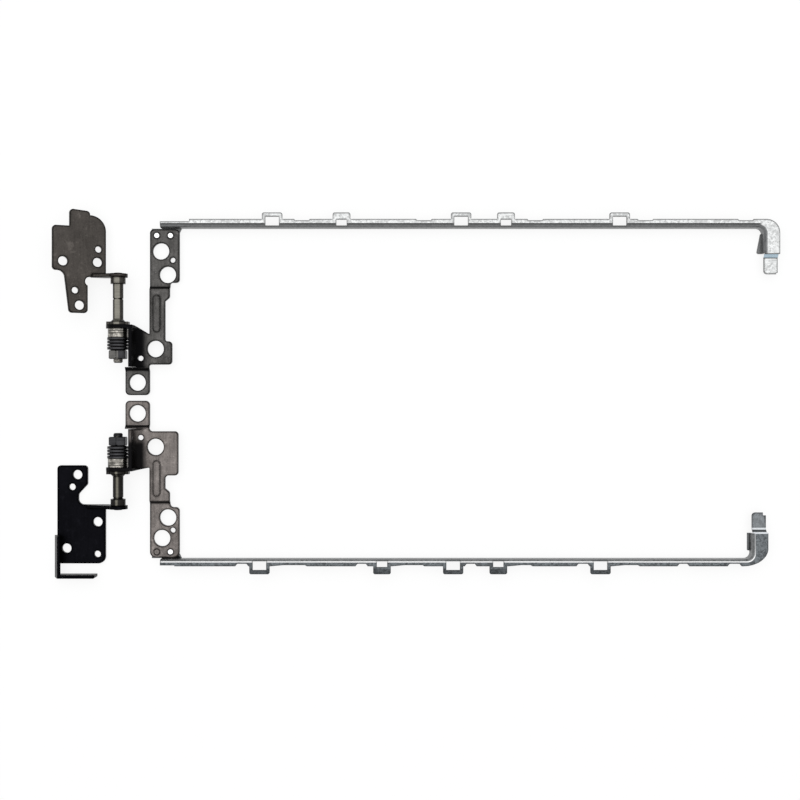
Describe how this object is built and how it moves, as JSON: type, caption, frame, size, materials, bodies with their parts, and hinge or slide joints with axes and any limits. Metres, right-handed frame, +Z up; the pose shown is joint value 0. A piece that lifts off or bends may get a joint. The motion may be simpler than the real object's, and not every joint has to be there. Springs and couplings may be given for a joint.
{
  "type": "pair of laptop hinges",
  "caption": "Left and right laptop lid hinges: folded base and display brackets on friction shafts with disc springs, each with a long clip rail for the lid's side.",
  "frame": {"origin": "middle of the pair's bounding box in plan, at the level surface that the pair lies on", "axes": "+X along the rails from the shafts to the hooked ends, +Y along the shafts from the right hinge to the left one, +Z up from the lid's inside"},
  "size_m": [0.2468, 0.1248, 0.0105],
  "materials": {
    "left_zinc": "bright zinc plating",
    "right_zinc": "grey zinc plating",
    "bracket_steel": "dark nickel plating, satin",
    "left_base_steel": "dark brown-grey plating, satin",
    "right_base_steel": "black plating, satin",
    "shaft_steel": "turned steel, oiled",
    "washer_steel": "ground steel",
    "black_steel": "black oxide, oiled",
    "rivet_steel": "bright steel"
  },
  "bodies": {
    "display_arms": {"left_display_bracket": "bracket_steel", "left_rail": "left_zinc", "left_rail_rivet_1": "rivet_steel", "left_rail_rivet_2": "rivet_steel", "left_ear_washer": "washer_steel", "right_display_bracket": "bracket_steel", "right_rail": "right_zinc", "right_rail_rivet_1": "rivet_steel", "right_rail_rivet_2": "rivet_steel", "right_ear_washer": "washer_steel"},
    "left_base": {"left_base_bracket": "left_base_steel", "left_shaft": "shaft_steel", "left_stop_washer": "shaft_steel", "left_shaft_washer": "washer_steel", "left_pressure_washer": "washer_steel", "left_disc_spring_1": "black_steel", "left_disc_spring_2": "black_steel", "left_disc_spring_3": "black_steel", "left_disc_spring_4": "black_steel", "left_lock_nut": "black_steel"},
    "right_base": {"right_base_bracket": "right_base_steel", "right_shaft": "shaft_steel", "right_stop_washer": "shaft_steel", "right_shaft_washer": "washer_steel", "right_pressure_washer": "washer_steel", "right_disc_spring_1": "black_steel", "right_disc_spring_2": "black_steel", "right_disc_spring_3": "black_steel", "right_disc_spring_4": "black_steel", "right_lock_nut": "black_steel"}
  },
  "joints": [
    {"name": "left_lid_swing", "type": "hinge", "parent": "display_arms", "child": "left_base", "pos_m": [-0.1006, 0.0235, 0.005], "axis": [0, 1, 0], "range_deg": [-25, 155]},
    {"name": "right_lid_swing", "type": "hinge", "parent": "display_arms", "child": "right_base", "pos_m": [-0.1006, -0.0258, 0.005], "axis": [0, 1, 0], "range_deg": [0, 180]}
  ]
}
